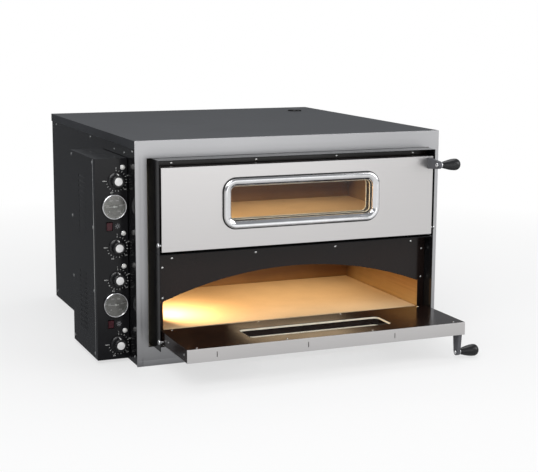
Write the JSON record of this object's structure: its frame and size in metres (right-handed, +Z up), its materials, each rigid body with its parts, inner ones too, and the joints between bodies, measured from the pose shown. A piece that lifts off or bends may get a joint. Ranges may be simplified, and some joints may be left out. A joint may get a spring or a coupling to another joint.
{
  "type": "countertop pizza oven",
  "caption": "Two-deck electric countertop pizza oven with drop-down windowed doors, arched hearth chambers and a control column on its left side.",
  "frame": {"origin": "centre of the base pan's flat underside", "axes": "+X to the oven's right as seen from its front, +Y to the rear, +Z up; the doors face -Y"},
  "size_m": [0.8553, 1.0213, 0.525],
  "materials": {
    "stainless": "brushed sheet, satin",
    "lid_paint": "dark grey semi-gloss powder coat",
    "black_paint": "glossy black powder coat",
    "black_enamel": "glossy black enamel",
    "liner_steel": "heat-tinted sheet",
    "fire_stone": "pressed fireclay, matt",
    "element_steel": "oxidised heating tube",
    "mineral_wool": "mineral wool blanket",
    "chrome": "polished",
    "black_plastic": "glossy black heat-proof plastic",
    "pilot_lens": "milky lamp lens",
    "red_lens": "red rocker lens",
    "window_glass": "clear heat-resistant glass",
    "grey_plastic": "moulded switchgear housing"
  },
  "bodies": {
    "cabinet": {"fascia": "stainless", "top_cover": "lid_paint", "vent_cap": "black_paint", "side_panel_left": "black_paint", "side_panel_right": "black_paint", "rear_panel": "black_paint", "base_pan": "black_paint", "insulation_jacket": "mineral_wool", "lower_surround": "black_paint", "lower_front_plate": "black_enamel", "lower_chamber_liner": "liner_steel", "lower_hearth_stone": "fire_stone", "lower_floor_element": "element_steel", "lower_roof_element": "element_steel", "lower_chamber_lamp": "window_glass", "lower_hinge_rod": "chrome", "upper_surround": "black_paint", "upper_front_plate": "black_enamel", "upper_chamber_liner": "liner_steel", "upper_hearth_stone": "fire_stone", "upper_floor_element": "element_steel", "upper_roof_element": "element_steel", "upper_chamber_lamp": "window_glass", "upper_hinge_rod": "chrome", "control_housing": "black_paint", "control_panel": "black_paint", "terminal_block": "grey_plastic", "cable_gland": "black_plastic", "lower_floor_thermostat": "grey_plastic", "lower_roof_thermostat": "grey_plastic", "upper_floor_thermostat": "grey_plastic", "upper_roof_thermostat": "grey_plastic", "lower_floor_pilot_lamp": "pilot_lens", "lower_roof_pilot_lamp": "pilot_lens", "upper_floor_pilot_lamp": "pilot_lens", "upper_roof_pilot_lamp": "pilot_lens", "lower_gauge_case": "chrome", "upper_gauge_case": "chrome", "lower_gauge_glass": "window_glass", "upper_gauge_glass": "window_glass"},
    "lower_door": {"lower_door_outer_panel": "stainless", "lower_door_inner_panel": "black_enamel", "lower_door_window_glass": "window_glass", "lower_door_window_bezel": "chrome", "lower_door_handle_arm": "black_paint", "lower_door_handle_grip": "black_plastic"},
    "upper_door": {"upper_door_outer_panel": "stainless", "upper_door_inner_panel": "black_enamel", "upper_door_window_glass": "window_glass", "upper_door_window_bezel": "chrome", "upper_door_handle_arm": "black_paint", "upper_door_handle_grip": "black_plastic"},
    "lower_floor_knob": {"lower_floor_knob": "black_plastic"},
    "lower_roof_knob": {"lower_roof_knob": "black_plastic"},
    "upper_floor_knob": {"upper_floor_knob": "black_plastic"},
    "upper_roof_knob": {"upper_roof_knob": "black_plastic"},
    "lower_needle": {"lower_gauge_needle": "black_plastic"},
    "upper_needle": {"upper_gauge_needle": "black_plastic"},
    "lower_switch": {"lower_light_switch": "red_lens"},
    "upper_switch": {"upper_light_switch": "red_lens"}
  },
  "joints": [
    {"name": "lower_door_hinge", "type": "hinge", "parent": "cabinet", "child": "lower_door", "pos_m": [0, -0.4468, 0.067], "axis": [-1, 0, 0], "range_deg": [0, 90]},
    {"name": "upper_door_hinge", "type": "hinge", "parent": "cabinet", "child": "upper_door", "pos_m": [0, -0.4468, 0.2893], "axis": [1, 0, 0], "range_deg": [0, 90]},
    {"name": "lower_floor_knob_turn", "type": "hinge", "parent": "cabinet", "child": "lower_floor_knob", "pos_m": [-0.414, -0.3412, 0.0435], "axis": [0, 1, 0], "range_deg": [0, 270]},
    {"name": "lower_roof_knob_turn", "type": "hinge", "parent": "cabinet", "child": "lower_roof_knob", "pos_m": [-0.414, -0.3412, 0.1965], "axis": [0, 1, 0], "range_deg": [0, 270]},
    {"name": "upper_floor_knob_turn", "type": "hinge", "parent": "cabinet", "child": "upper_floor_knob", "pos_m": [-0.414, -0.3412, 0.272], "axis": [0, 1, 0], "range_deg": [0, 270]},
    {"name": "upper_roof_knob_turn", "type": "hinge", "parent": "cabinet", "child": "upper_roof_knob", "pos_m": [-0.414, -0.3412, 0.425], "axis": [0, 1, 0], "range_deg": [0, 270]},
    {"name": "lower_needle_turn", "type": "hinge", "parent": "cabinet", "child": "lower_needle", "pos_m": [-0.4205, -0.344, 0.1375], "axis": [0, 1, 0], "range_deg": [-45, 225]},
    {"name": "upper_needle_turn", "type": "hinge", "parent": "cabinet", "child": "upper_needle", "pos_m": [-0.4205, -0.344, 0.366], "axis": [0, 1, 0], "range_deg": [-45, 225]},
    {"name": "lower_switch_tip", "type": "hinge", "parent": "cabinet", "child": "lower_switch", "pos_m": [-0.4315, -0.33925, 0.092], "axis": [-1, 0, 0], "range_deg": [0, 18]},
    {"name": "upper_switch_tip", "type": "hinge", "parent": "cabinet", "child": "upper_switch", "pos_m": [-0.4315, -0.33925, 0.3205], "axis": [-1, 0, 0], "range_deg": [0, 18]}
  ]
}
